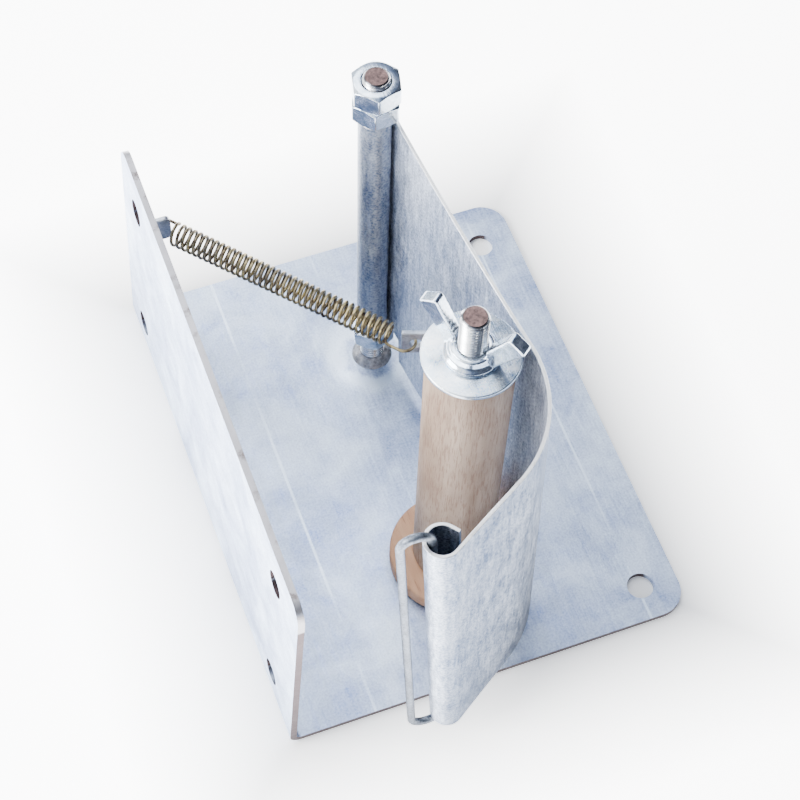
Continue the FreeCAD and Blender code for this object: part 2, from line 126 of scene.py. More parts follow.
def around(radius, z, centre, columns):
    """Points of radius[row, column] and z[row, column] about the vertical axis through centre."""
    a = np.linspace(0, TURN, columns, endpoint=False)
    x = centre[0] + radius * np.cos(a)
    y = centre[1] + radius * np.sin(a)
    return np.stack([x, y, z + 0 * x], axis=-1)


def wire(name, path, radius, sides=3):
    """Round wire along a path of points, closed at both ends."""
    curve = bpy.data.curves.new(name, "CURVE")
    curve.dimensions = "3D"
    curve.bevel_depth = radius
    curve.bevel_resolution = sides
    curve.use_fill_caps = True
    line = curve.splines.new("POLY")
    line.points.add(len(path) - 1)
    line.points.foreach_set("co", np.column_stack([path, np.ones(len(path))]).ravel())
    holder = bpy.data.objects.new(name, curve)
    mesh = bpy.data.meshes.new_from_object(holder)
    bpy.data.objects.remove(holder)
    return finished(name, mesh, 50)


def soft_copy(node, voxel, rounds):
    """Copy of a CAD node with its edges worn round: remeshed at voxel, then smoothed."""
    mesh = NODES[node].data.copy()
    merged = bmesh.new()
    merged.from_mesh(mesh)
    bmesh.ops.remove_doubles(merged, verts=merged.verts, dist=1e-6)
    merged.to_mesh(mesh)
    merged.free()
    piece = bpy.data.objects.new(node + "_soft", mesh)
    bpy.context.scene.collection.objects.link(piece)
    remesh = piece.modifiers.new("remesh", "REMESH")
    remesh.mode = "VOXEL"
    remesh.voxel_size = voxel
    smooth = piece.modifiers.new("smooth", "SMOOTH")
    smooth.factor = 0.5
    smooth.iterations = rounds
    baked = bpy.data.meshes.new_from_object(piece.evaluated_get(bpy.context.evaluated_depsgraph_get()))
    bpy.data.objects.remove(piece)
    return finished(node + "_soft", baked, 60)


# %% [markdown]
# ## Materials
# Each one is made of nodes on Object coordinates, with the grain and the stains at real size.

# %%
class Paint:
    """A node material with short calls for the nodes that are used again and again."""

    def __init__(self, name):
        self.material = bpy.data.materials.new(name)
        self.material.use_nodes = True
        self.tree = self.material.node_tree
        self.shader = self.tree.nodes["Principled BSDF"]
        self.where = self.tree.nodes.new("ShaderNodeTexCoord").outputs

    def node(self, kind, **inputs):
        made = self.tree.nodes.new("ShaderNode" + kind)
        self.feed(made, inputs)
        return made

    def feed(self, node, inputs):
        for key, value in inputs.items():
            socket = node.inputs[int(key[1:]) if key[0] == "i" and key[1:].isdigit() else key]
            if isinstance(value, bpy.types.NodeSocket):
                self.tree.links.new(value, socket)
            else:
                socket.default_value = value

    def stretched(self, x, y, z, turn=(0, 0, 0)):
        """Object coordinates times (x, y, z)."""
        return self.node("Mapping", Vector=self.where["Object"], Scale=(x, y, z), Rotation=turn).outputs[0]

    def noise(self, vector, scale, detail=4.0, rough=0.5, warp=0.0):
        made = self.node("TexNoise", Vector=vector, Scale=scale, Detail=detail, Roughness=rough)
        self.feed(made, {"Distortion": warp})
        return made.outputs["Fac"]

    def sum(self, kind, a, b, clamp=False):
        made = self.node("Math", i0=a, i1=b)
        made.operation = kind
        made.use_clamp = clamp
        return made.outputs[0]

    def between(self, value, low, high, to_low=0.0, to_high=1.0):
        """The value's range low to high spread over to_low to to_high, clamped."""
        made = self.node("MapRange", Value=value)
        keys = ("From Min", "From Max", "To Min", "To Max")
        self.feed(made, dict(zip(keys, (low, high, to_low, to_high))))
        return made.outputs[0]

    def blend(self, share, a, b):
        """Colour a where share is 0, b where it is 1."""
        made = self.tree.nodes.new("ShaderNodeMix")
        made.data_type = "RGBA"
        for slot, value in ((0, share), (6, a), (7, b)):
            self.feed(made, {f"i{slot}": value})
        return made.outputs[2]

    def axis(self, output, letter):
        """One component of the Object or Normal coordinates."""
        return self.node("SeparateXYZ", Vector=self.where[output]).outputs[letter]

    def bump(self, height, distance, strength=1.0, under=None):
        made = self.node("Bump", Height=height, Distance=distance, Strength=strength)
        if under is not None:
            self.feed(made, {"Normal": under})
        return made.outputs[0]

    def finish(self, color, metallic, roughness, normal=None, **rest):
        self.feed(self.shader, {"Base Color": color, "Metallic": metallic, "Roughness": roughness})
        if normal is not None:
            self.feed(self.shader, {"Normal": normal})
        self.feed(self.shader, rest)
        return self.material


def grey(r, g=None, b=None):
    return (r, r if g is None else g, r if b is None else b, 1.0)


# %% [markdown]
# Galvanised sheet: cloudy zinc over a fine rolled grain. The base plate also carries long pale
# roll marks along its length, and its sheared edges are grey with brown spots, painted near-black
# as shade below the top. The flap's sheet is painted darker as shade on one side and round its eye.

# %%
EYE_INNER = 5.4 * MM
EYE_OUTER = 6.4 * MM


def galvanised(name, dark, pale, grain, edge_axis, cut_tones, clouds, grit,
               low_edge=3.0 * MM, marks=(), rings=(), side_and_eye_shade=None):
    """Zinc-coated sheet.

    grain stretches the fine lines and edge_axis(paint) masks the cut edges, which take the third
    of cut_tones, a painted shade, below the height low_edge. The last argument paints shade: it darkens
    the side that looks along its first value and the rolled eye round its last, in colour and specular tint.
    """
    p = Paint(name)
    cloud = p.noise(p.where["Object"], 42.0, 6.0, 0.62, 0.6)
    patch = p.noise(p.where["Object"], 130.0, 5.0, 0.6, 0.3)
    fine = p.noise(p.stretched(*grain), 1.0, 4.0, 0.6)
    speck = p.noise(p.where["Object"], 1500.0, 2.0, 0.5)
    broad = p.between(cloud, 0.36, 0.64, 0.0, clouds)
    tone = p.sum("ADD", broad, p.between(patch, 0.34, 0.66, 0.0, clouds * 0.7))
    tone = p.sum("ADD", tone, p.between(fine, 0.34, 0.66, 0.0, grit))
    tone = p.sum("ADD", tone, p.between(speck, 0.36, 0.64, -grit * 0.5, grit * 0.7))
    for x, width, strength in marks:
        off = p.sum("ABSOLUTE", p.sum("SUBTRACT", p.axis("Object", "X"), x), 0.0)
        line = p.between(off, width * 0.4, width, strength, 0.0)
        wear_and_shade = p.between(p.noise(p.stretched(60, 22, 60), 1.0, 3.0), 0.38, 0.6)
        tone = p.sum("ADD", tone, p.sum("MULTIPLY", line, wear_and_shade))
    for centre, inner, outer, strength in rings:
        local = p.node("VectorMath", i0=p.where["Object"], i1=(centre[0], centre[1], PLATE))
        local.operation = "DISTANCE"
        reach = p.sum("ADD", local.outputs["Value"], p.between(patch, 0.3, 0.7, -0.0016, 0.0016))
        rim = p.between(reach, inner * 0.75, inner)
        rim = p.sum("MULTIPLY", rim, p.between(reach, inner, outer, 1.0, 0.0))
        tone = p.sum("ADD", tone, p.sum("MULTIPLY", rim, strength))
    tone = p.sum("MULTIPLY", tone, 1.0, True)
    color = p.blend(tone, dark, pale)
    shade_specular_tint = grey(1.0)
    # Painted shade: the side facing the first value and the rolled eye round the pivot are blended towards
    # near-black, and the specular tint is darkened with them.
    if side_and_eye_shade is not None:
        facing, depth, eye = side_and_eye_shade
        look = p.node("VectorMath", i0=p.where["Normal"], i1=facing)
        look.operation = "DOT_PRODUCT"
        flat = p.node("Mapping", Vector=p.where["Object"], Scale=(1, 1, 0)).outputs[0]
        reach = p.node("VectorMath", i0=flat, i1=(eye[0], eye[1], 0))
        reach.operation = "DISTANCE"
        wrap = p.between(reach.outputs["Value"], EYE_INNER, EYE_OUTER, 1.0, 0.0)
        face = p.between(look.outputs["Value"], -0.15, 0.5, 0.0, depth)
        face = p.sum("MULTIPLY", face, p.sum("SUBTRACT", 1.0, wrap))
        wear_and_shade = p.sum("ADD", face, p.sum("MULTIPLY", wrap, depth * 0.9))
        color = p.blend(wear_and_shade, color, grey(0.012, 0.014, 0.02))
        grain_share = p.between(fine, 0.34, 0.66, -0.05, 0.05)
        shade = p.sum("ADD", p.sum("MULTIPLY", face, 0.94 / depth), grain_share, True)
        shade_specular_tint = p.blend(shade, grey(1.0), grey(0.24, 0.275, 0.36))
    edge = edge_axis(p)
    stain = p.between(p.noise(p.where["Object"], 150.0, 5.0, 0.65), 0.55, 0.7)
    cut = p.blend(stain, cut_tones[0], cut_tones[1])
    # Painted shade: below low_edge the cut edges take the third, near-black tone.
    cut = p.blend(p.between(p.axis("Object", "Z"), low_edge - 1.0 * MM, low_edge), cut_tones[2], cut)
    color = p.blend(edge, color, cut)
    rough = p.between(p.sum("ADD", patch, p.sum("MULTIPLY", fine, 0.6)), 0.5, 1.1, 0.34, 0.56)
    wave = p.bump(p.noise(p.where["Object"], 14.0, 2.0), 0.0016, 0.5)
    normal = p.bump(p.sum("ADD", fine, speck), 0.00006, 0.55, wave)
    return p.finish(color, 1.0, rough, normal, **{"Specular Tint": shade_specular_tint})


def base_edges(p):
    """The plate's sheared edges and hole walls: faces along Y or +X, and level ones up the flange."""
    side = p.between(p.sum("ABSOLUTE", p.axis("Normal", "Y"), 0.0), 0.6, 0.8)
    free = p.between(p.axis("Normal", "X"), 0.75, 0.9)
    free = p.sum("MULTIPLY", free, p.between(p.axis("Object", "X"), 0.05, 0.06))
    level = p.between(p.sum("ABSOLUTE", p.axis("Normal", "Z"), 0.0), 0.5, 0.8)
    level = p.sum("MULTIPLY", level, p.between(p.axis("Object", "Z"), 8 * MM, 10 * MM))
    return p.sum("MAXIMUM", side, p.sum("MAXIMUM", free, level))


def level_edges(p):
    """The top and bottom edges of an upright sheet."""
    return p.between(p.sum("ABSOLUTE", p.axis("Normal", "Z"), 0.0), 0.5, 0.8)


ROLL_MARKS = ((-38.4 * MM, 0.55 * MM, 0.55), (52.9 * MM, 0.5 * MM, 0.6), (-3.0 * MM, 0.4 * MM, 0.25))
# Pale rings on the plate round the feet of the two studs.
PALE_STUD_RINGS = (((PIVOT[0], PIVOT[1]), 11 * MM, 17 * MM, 0.6), ((SPOOL[0], SPOOL[1]), 13 * MM, 20 * MM, 0.35))
# The plate's cut edges and hole walls below the flange's top (78 mm) are painted near-black as shade.
plate_zinc = galvanised(
    "galvanised_plate", grey(0.17, 0.23, 0.43), grey(0.74, 0.85, 1.0), (900, 40, 900),
    base_edges, (grey(0.42, 0.41, 0.43), grey(0.11, 0.08, 0.07), grey(0.09, 0.065, 0.07)),
    0.46, 0.2, 78 * MM, ROLL_MARKS, PALE_STUD_RINGS,
)
# The flap is painted darker as shade on the side facing (0.75, -0.66) and round its rolled eye.
flap_zinc = galvanised(
    "galvanised_flap", grey(0.22, 0.27, 0.38), grey(0.84, 0.90, 1.0), (700, 700, 110),
    level_edges, (grey(0.80), grey(0.50, 0.47, 0.45), grey(0.4)), 0.2, 0.42,
    side_and_eye_shade=((0.75, -0.66, 0), 0.5, PIVOT),
)
wire_zinc = galvanised(
    "galvanised_wire", grey(0.06, 0.07, 0.09), grey(0.24, 0.27, 0.32), (700, 700, 200),
    lambda p: 0.0, (grey(0.5), grey(0.5), grey(0.5)), 0.3, 0.4,
)
print("sheet materials", plate_zinc.name, flap_zinc.name, wire_zinc.name)

# %% [markdown]
# Bright zinc for the nuts, washer and wing nut; threads with painted shade in their roots and rusty
# cut ends; burnt weld metal; and the spring's yellowed zinc.

# %%
def bright_zinc(name, dark, pale, rough_low, rough_high):
    p = Paint(name)
    cloud = p.noise(p.where["Object"], 240.0, 4.0, 0.6, 0.4)
    spots = p.noise(p.where["Object"], 1400.0, 3.0, 0.6)
    color = p.blend(p.between(p.sum("ADD", cloud, p.sum("MULTIPLY", spots, 0.5)), 0.5, 0.95), dark, pale)
    scratch = p.noise(p.stretched(2600, 260, 900, (0.3, 0.2, 0.7)), 1.0, 3.0)
    normal = p.bump(p.sum("ADD", scratch, spots), 0.00004, 0.5)
    return p.finish(color, 0.95, p.between(cloud, 0.3, 0.7, rough_low, rough_high), normal, IOR=2.2)


def threaded_steel(name, centre, end_z):
    """Zinc-plated rod round centre, painted dark as shade in the thread's roots, rusty on the end above
    end_z.
    """
    p = Paint(name)
    cloud = p.noise(p.where["Object"], 400.0, 4.0)
    color = p.blend(p.between(cloud, 0.35, 0.65), grey(0.60, 0.63, 0.67), grey(0.92, 0.94, 0.97))
    flat = p.node("Mapping", Vector=p.where["Object"], Scale=(1, 1, 0)).outputs[0]
    reach = p.node("VectorMath", i0=flat, i1=(centre[0], centre[1], 0))
    reach.operation = "DISTANCE"
    # Painted shade: the thread's roots are darkened to near-black.
    root = p.between(reach.outputs["Value"], STUD_R - THREAD_DEPTH, STUD_R - 0.25 * MM, 1.0, 0.0)
    color = p.blend(root, color, grey(0.07, 0.07, 0.08))
    end = p.sum("MULTIPLY", p.between(p.axis("Normal", "Z"), 0.86, 0.96),
                p.between(p.axis("Object", "Z"), end_z, end_z + 0.3 * MM))
    rust_tone = p.between(p.noise(p.where["Object"], 900.0, 6.0, 0.7), 0.36, 0.66)
    rust = p.blend(rust_tone, grey(0.05, 0.03, 0.03), grey(0.24, 0.145, 0.135))
    color = p.blend(end, color, rust)
    metallic = p.between(end, 0.0, 1.0, 0.95, 0.25)
    rough = p.between(end, 0.0, 1.0, 0.24, 0.6)
    normal = p.bump(p.noise(p.where["Object"], 2600.0, 3.0), 0.00005, 0.6)
    return p.finish(color, metallic, rough, normal)


def burnt_weld():
    p = Paint("weld_metal")
    tone = p.between(p.noise(p.where["Object"], 500.0, 5.0, 0.65), 0.35, 0.65)
    color = p.blend(tone, grey(0.20, 0.19, 0.19), grey(0.62, 0.62, 0.64))
    normal = p.bump(p.noise(p.where["Object"], 800.0, 4.0), 0.0003, 0.7)
    return p.finish(color, 0.8, 0.48, normal)


def yellow_zinc():
    """Spring wire: olive and gold with brown patches, greyer on some coils."""
    p = Paint("yellow_zinc_wire")
    wide = p.noise(p.where["Object"], 75.0, 3.0, 0.55)
    close = p.noise(p.where["Object"], 500.0, 4.0, 0.6)
    gold = p.blend(p.between(wide, 0.38, 0.62), grey(0.17, 0.145, 0.105), grey(0.42, 0.34, 0.17))
    color = p.blend(p.between(close, 0.46, 0.68), gold, grey(0.075, 0.05, 0.035))
    normal = p.bump(p.noise(p.where["Object"], 2400.0, 2.0), 0.00003, 0.5)
    return p.finish(color, 0.92, p.between(close, 0.3, 0.7, 0.26, 0.4), normal)


hardware_zinc = bright_zinc("bright_zinc", grey(0.30, 0.38, 0.48), grey(0.84, 0.91, 1.0), 0.10, 0.22)
washer_zinc = bright_zinc("washer_zinc", grey(0.40, 0.52, 0.66), grey(0.94, 0.98, 1.0), 0.2, 0.34)
strip_zinc = bright_zinc("strip_zinc", grey(0.22, 0.24, 0.28), grey(0.56, 0.59, 0.64), 0.3, 0.45)
pivot_steel = threaded_steel("pivot_rod", PIVOT, 139.9 * MM)
spool_steel = threaded_steel("spool_rod", SPOOL, 139.5 * MM)
weld_steel = burnt_weld()
spring_zinc = yellow_zinc()
print("hardware materials", hardware_zinc.name, pivot_steel.name, spring_zinc.name)

# %% [markdown]
# Wood: beech with its short brown flecks along the grain for the core, and a redder sawn disc.

# %%
def wood(name, pale, deep, fleck, long_axis, fleck_share):
    """Bare wood with the grain along long_axis and darker flecks lying along it."""
    p = Paint(name)
    slow = [120.0, 120.0, 120.0]
    slow[long_axis] = 14.0
    grain = p.noise(p.stretched(*slow), 1.0, 5.0, 0.6, 0.5)
    quick = [2300.0, 2300.0, 2300.0]
    quick[long_axis] = 170.0
    pores = p.noise(p.stretched(*quick), 1.0, 3.0, 0.6)
    blotch = p.noise(p.where["Object"], 60.0, 3.0)
    tone = p.sum("ADD", p.between(grain, 0.3, 0.7, 0.0, 0.7), p.between(blotch, 0.35, 0.65, 0.0, 0.3))
    color = p.blend(tone, pale, deep)
    mark = p.between(pores, fleck_share, fleck_share + 0.07)
    color = p.blend(p.sum("MULTIPLY", mark, 0.5), color, fleck)
    normal = p.bump(p.sum("SUBTRACT", grain, mark), 0.00012, 0.5)
    return p.finish(color, 0.0, p.between(grain, 0.3, 0.7, 0.5, 0.68), normal)


beech = wood(
    "bare_beech", grey(0.42, 0.31, 0.225), grey(0.17, 0.105, 0.068), grey(0.13, 0.05, 0.025), 2, 0.53,
)
red_wood = wood(
    "red_sawn_wood", grey(0.66, 0.38, 0.21), grey(0.40, 0.17, 0.08), grey(0.26, 0.10, 0.05), 1, 0.6,
)
print("wood materials", beech.name, red_wood.name)


# %% [markdown]
# ## Turned pieces
# The core, its disc, the washer and the two weld beads are profiles turned round a stud.

# %%
def rounded(outer, inner, low, high, edge, steps=5):
    """Closed (radius, z) profile of a ring with its two outer rims rounded to edge."""
    a = np.linspace(-90, 0, steps)
    foot = np.array([outer - edge, low + edge]) + edge * heading(a)
    head = np.array([outer - edge, high - edge]) + edge * heading(a + 90)
    return np.vstack([[inner, low], foot, head, [inner, high]])


def turned(name, profile, centre, columns=96, uneven=None):
    """Ring through the (radius, z) profile; uneven adds lumps[row, column] to its radius."""
    radius = np.repeat(profile[:, :1], columns, axis=1)
    if uneven is not None:
        radius = radius + uneven
    return skin(name, around(radius, profile[:, 1:], centre, columns), loop=True)


disc = turned("spool_disc_turned", rounded(19.4 * MM, 4.4 * MM, 2.3 * MM, 9.2 * MM, 1.1 * MM), SPOOL)
core_profile = rounded(12.2 * MM, 4.4 * MM, 9.2 * MM, 121.9 * MM, 0.7 * MM)
core = turned("spool_core_turned", core_profile, SPOOL, 128)
washer = turned("penny_washer", rounded(13.5 * MM, 4.25 * MM, 121.92 * MM, 123.4 * MM, 0.45 * MM), SPOOL, 128)


def weld_beads(name, centre, radius, height, lumps):
    """Fillet round a stud's foot: radius falls as height rises, with lumps of the arc's puddles."""
    share = np.linspace(0, 1, 14)
    r = STUD_R + (radius - STUD_R) * (1 - share) ** 1.6
    z = PLATE + height * np.sin(share * np.pi / 2) ** 0.8
    a = np.linspace(0, TURN, 120, endpoint=False)
    wobble = 0.35 * MM * np.abs(np.sin(lumps * a / 2)) + 0.3 * MM * np.sin(3 * a + 1)
    inner = STUD_R - 0.4 * MM
    shape = np.vstack([np.column_stack([r, z]), [inner, PLATE + height], [inner, PLATE]])
    fade = np.append(np.sin(np.linspace(0, np.pi, 14)) ** 0.5, [0, 0])
    return turned(name, shape, centre, 120, fade[:, None] * (wobble - 0.5 * MM))


pivot_weld = weld_beads("pivot_weld_bead", PIVOT, 6.6 * MM, 2.5 * MM, 11)
spool_weld = weld_beads("spool_weld_bead", SPOOL, 6.4 * MM, 2.3 * MM, 9)
print("turned", disc.name, core.name, washer.name, "core height mm", round((121.9 - 9.2), 1))


# %% [markdown]
# ## Threaded studs
# The thread is real: the radius follows the height and the angle with a pitch of 1.25 mm.

# %%
def stud(name, centre, top, threaded):
    """Rod whose radius is R - depth * |saw|, where saw runs with z / pitch - angle / turn."""
    chamfer = 0.8 * MM
    parts = [np.linspace(PLATE, top - chamfer, int((top - PLATE) / (2 * MM)))]
    parts += [np.arange(low, high, THREAD_PITCH / 12) for low, high in threaded]
    z = np.unique(np.append(np.concatenate(parts), np.linspace(top - chamfer, top, 7)))[:, None]
    a = np.linspace(0, 1, 60, endpoint=False)
    wave = np.abs(((z / THREAD_PITCH - a) % 1) * 2 - 1)
    groove = np.clip(wave * 1.25 - 0.12, 0, 1)
    inside = sum(np.clip((z - low) / MM, 0, 1) * np.clip((high - z) / MM, 0, 1) for low, high in threaded)
    radius = STUD_R - 0.02 * MM - THREAD_DEPTH * (inside * groove + (1 - inside) * 0.35)
    radius = np.minimum(radius, STUD_R - 0.02 * MM - np.clip(z - (top - chamfer), 0, chamfer))
    return skin(name, around(radius, z, centre, 60), caps=True)


pivot_stud = stud("pivot_stud_threaded", PIVOT, 141.6 * MM, [(2.5 * MM, 30 * MM), (121 * MM, 141.6 * MM)])
spool_stud = stud("spool_stud_threaded", SPOOL, 140.8 * MM, [(119 * MM, 140.8 * MM)])


# %% [markdown]
# ## Hex nuts
# A nut is a turned profile limited by a hexagon, so the chamfers meet the flats in arcs.

# %%
def hex_nut(name, centre, low, corner_degrees):
    """Radius = min(profile, hexagon), where the hexagon is flats / 2 / cos(angle from a flat)."""
    columns = 180
    a = np.linspace(0, TURN, columns, endpoint=False)
    off = (a - math.radians(corner_degrees)) % (TURN / 6) - TURN / 12
    hexagon = NUT_FLATS / 2 / np.cos(off)
    hexagon = np.minimum(hexagon, NUT_FLATS / 2 / math.cos(math.radians(28.4)))
    corner = NUT_FLATS / 2 / math.cos(math.radians(30))
    face = NUT_FLATS / 2 * 0.955
    bore = STUD_R - 0.1 * MM
    slope = math.tan(math.radians(30))
    rise = np.linspace(0, corner - face, 9)
    lower = np.column_stack([face + rise, rise * slope])
    upper = np.column_stack([face + rise[::-1], NUT_HEIGHT - rise[::-1] * slope])
    mouth = [[bore, 0.5 * MM], [bore + 0.55 * MM, 0.02 * MM]]
    lip = [[bore + 0.55 * MM, NUT_HEIGHT - 0.02 * MM], [bore, NUT_HEIGHT - 0.5 * MM]]
    profile = np.vstack([mouth, lower, upper, lip])
    radius = np.minimum(profile[:, :1], hexagon)
    return skin(name, around(radius, low + profile[:, 1:], centre, columns), loop=True)


support_nut = hex_nut("support_nut_hex", PIVOT, 14.5 * MM, -100)
lower_nut = hex_nut("pivot_nut_hex", PIVOT, 127.1 * MM, -112)
lock_nut = hex_nut("lock_nut_hex", PIVOT, 133.6 * MM, -104)
print("nuts", support_nut.name, lower_nut.name, lock_nut.name)


# %% [markdown]
# ## Brake flap
# Its line is a chain of arcs and straights seen from above. The eye wraps the stud, the run bows
# a little, the bend goes round the spool's near side and the lip curls shut.

# %%
EYE_R = 4.55 * MM
EYE_STEP = 4.6 * MM
RUN = 84.8 * MM
RUN_BOW = 3.2
CHAIN = (
    (EYE_R, 126.0, 36),
    (EYE_STEP, 180.0 + RUN_BOW / 2, 52),
    (-RUN / math.radians(RUN_BOW), -RUN_BOW, 90),
    (36.6 * MM, 66.7, 60),
    (None, 25.0 * MM, 14),
    (4.5 * MM, 261.0, 72),
    (None, 2.4 * MM, 4),
)


def flap_line():
    """Centre line (x, y) and unit normals, from the eye's free end to the lip's end."""
    point, degrees = PIVOT + heading(306.0) * EYE_R, 216.0
    points, normals = [point[None]], [heading(degrees + 90)[None]]
    for radius, turn, count in CHAIN:
        share = np.linspace(0, 1, count + 1)[1:, None]
        side = heading(degrees + 90)
        if radius is None:
            step = point + heading(degrees) * turn * share
            facing = np.repeat(side[None], count, axis=0)
        else:
            centre = point - side * radius
            facing = heading((degrees + 90 - turn * share)[:, 0])
            step = centre + facing * radius
            degrees -= turn
        points.append(step)
        normals.append(facing)
        point = step[-1]
    return np.vstack(points), np.vstack(normals)


def spun(xy, degrees):
    """Points turned about the pivot stud; degrees may be an array over the points' rows."""
    a = np.radians(degrees)
    x, y = xy[..., 0] - PIVOT[0], xy[..., 1] - PIVOT[1]
    turned_x = PIVOT[0] + x * np.cos(a) - y * np.sin(a)
    return np.stack([turned_x, PIVOT[1] + x * np.sin(a) + y * np.cos(a)], axis=-1)


def flap_turn(z):
    return FLAP_HEADING + FLAP_TWIST * (FLAP_TOP - z) / (FLAP_TOP - FLAP_BOTTOM)


def brake_flap():
    """Sheet of constant thickness on the line, turned about the stud as z falls, edges eased."""
    line, normal = flap_line()
    low = np.where(line[:, 1] > PIVOT[1] - NOTCH_REACH, NOTCH_TOP, FLAP_BOTTOM)
    low = np.concatenate([low, low[::-1]])
    ease = 0.14 * MM
    share = np.linspace(0, 1, 40)[:, None]
    z = low + (FLAP_TOP - low) * share
    z = np.vstack([z[:1], z[:1] + ease, z[1:-1], z[-1:] - ease, z[-1:]])
    half = np.full(len(z), SHEET / 2)
    half[[0, -1]] -= ease
    offset = normal[None] * half[:, None, None]
    outline = np.concatenate([line[None] + offset, (line[None] - offset)[:, ::-1]], axis=1)
    xy = spun(outline, flap_turn(z))
    piece_points = np.concatenate([xy, z[..., None]], axis=-1)
    return skin_sheet("brake_flap_sheet", piece_points, len(line))


def skin_sheet(name, points, count):
    """Skin of a closed outline whose two long sides lie count points apart, with edge strips."""
    rows = len(points)
    index = np.arange(rows * 2 * count).reshape(rows, 2 * count)
    wide = np.hstack([index, index[:, :1]])
    quads = np.stack([wide[:-1, :-1], wide[:-1, 1:], wide[1:, 1:], wide[1:, :-1]], axis=-1).reshape(-1, 4)
    rims = []
    for row in (0, -1):
        left, right = index[row, :count], index[row, count:][::-1]
        rims.append(np.stack([left[:-1], left[1:], right[1:], right[:-1]], axis=-1))
    mesh = bpy.data.meshes.new(name)
    mesh.from_pydata(points.reshape(-1, 3).tolist(), [], np.vstack([quads] + rims).tolist())
    tidy = bmesh.new()
    tidy.from_mesh(mesh)
    bmesh.ops.recalc_face_normals(tidy, faces=tidy.faces)
    tidy.to_mesh(mesh)
    tidy.free()
    return finished(name, mesh, 30)


flap = brake_flap()
print("flap", len(flap.data.polygons), "faces, length mm", round(float(RUN / MM + 25.0 + 2.4), 1))


# %% [markdown]
# ## Wires
# The spring is one wire: a level hook through the flange's strip, a coil, and a level hook
# through the flap's strip. The guide loop is a bent wire hooked into the lip.

# %%
HOOK_LEAD = 25.0
HOOK_NECK = 4.0 * MM
ANCHOR_HOLE = np.array([-56.798, 74.2]) * MM
HOOK_HOLE = np.array([6.775, 8.381]) * MM
FLANGE_HOOK_DEGREES = 90.0
FLAP_HOOK_DEGREES = 250.1


def hook(centre, first, last):
    """Level arc of a hook between two directions from its centre."""
    flat = centre + heading(np.linspace(first, last, 40)) * COIL_R
    return np.column_stack([flat, np.full(len(flat), SPRING_Z)])


def spring_wire():
    """Hook, neck, helix, neck, hook.

    Along the middle the wire's own speed is shared: on = 0 runs straight, on = 1 turns."""
    first = ANCHOR_HOLE + heading(FLANGE_HOOK_DEGREES - 90) * COIL_R
    last = HOOK_HOLE + heading(FLAP_HOOK_DEGREES - 90) * COIL_R
    along = last - first
    length = float(np.hypot(*along))
    degrees = math.degrees(math.atan2(along[1], along[0]))
    units = COILS + 0.42
    t = np.linspace(0, units, int(units * 40))
    near_end = np.clip((np.minimum(t, units - t) - 0.1) / 0.22, 0, 1)
    on = near_end * near_end * (3 - 2 * near_end)
    pitch = (length - 2 * HOOK_NECK) / COILS
    speed = on * pitch + (1 - on) * TURN * COIL_R
    run = np.append(0, np.cumsum(speed[1:])) * length / np.sum(speed[1:])
    phase = np.append(0, np.cumsum(on[1:])) * COILS * TURN / np.sum(on[1:])
    xy = first + np.outer(run, heading(degrees)) + np.outer(COIL_R * np.cos(phase), heading(degrees + 90))
    coils = np.column_stack([xy, SPRING_Z + COIL_R * np.sin(phase)])
    near = hook(first, FLANGE_HOOK_DEGREES + 90 + HOOK_LEAD, degrees + 90)
    far = hook(last, degrees + 270, FLAP_HOOK_DEGREES + 90 + HOOK_LEAD)
    return np.vstack([near[:-1], coils, far[1:]]), first, last


spring_path, hook_near, hook_far = spring_wire()
spring = wire("brake_spring_wire", spring_path, WIRE_R, 4)
print("spring reaches", [round(float(v) / MM, 1) for v in spring_path.max(axis=0)])

GUIDE_R = 1.2 * MM
LEG_OUT = 10.9 * MM
HOOK_OUT = 2.6 * MM
GUIDE_OVERRUN = 0.3 * MM
GUIDE_HOOK = 9.0 * MM
GUIDE_TURN = 4.6


def guide_loop():
    """Leg outside the lip, a half circle over each rim and a short leg down inside the lip."""
    line, normal = flap_line()
    start = sum(count for _, _, count in CHAIN[:5])
    centre = line[start] - normal[start] * 4.5 * MM
    ends = np.array([[*spun(centre, flap_turn(z)), z] for z in (FLAP_BOTTOM, FLAP_TOP)])
    a = math.radians(GUIDE_TURN)
    out = np.array([-math.cos(a), math.sin(a), 0.0])
    foot, head = ends + out * LEG_OUT
    leg = (head - foot) / np.linalg.norm(head - foot)
    inward = leg * leg.dot(out) - out
    inward /= np.linalg.norm(inward)
    bend = (LEG_OUT - HOOK_OUT) / 2
    swing = np.linspace(0, math.pi, 28)[:, None]
    cap = (1 - np.cos(swing)) * inward * bend
    top = head + leg * GUIDE_OVERRUN + cap + np.sin(swing) * leg * bend
    bottom = foot - leg * GUIDE_OVERRUN + cap - np.sin(swing) * leg * bend
    leg_points = bottom[0] + (top[0] - bottom[0]) * np.linspace(0, 1, 30)[1:-1, None]
    low_end, high_end = bottom[-1:] + leg * GUIDE_HOOK, top[-1:] - leg * GUIDE_HOOK
    return np.vstack([low_end, bottom[::-1], leg_points, top, high_end])


loop = wire("guide_loop_wire", guide_loop(), GUIDE_R, 5)

# %% [markdown]
# ## Cast and sheared pieces
# The wing nut and the two strips keep their CAD shapes with the edges worn round.

# %%
wing_nut = soft_copy("wing_nut", 0.26 * MM, 16)
flange_strip = soft_copy("flange_spring_tab", 0.2 * MM, 2)
flap_strip = soft_copy("flap_spring_tab", 0.2 * MM, 2)
print("soft copies", [len(o.data.polygons) for o in (wing_nut, flange_strip, flap_strip)])

# %% [markdown]
# ## Joining the pieces to the frame
# Each piece takes its CAD node's place, rides on that node's body and takes its finish.

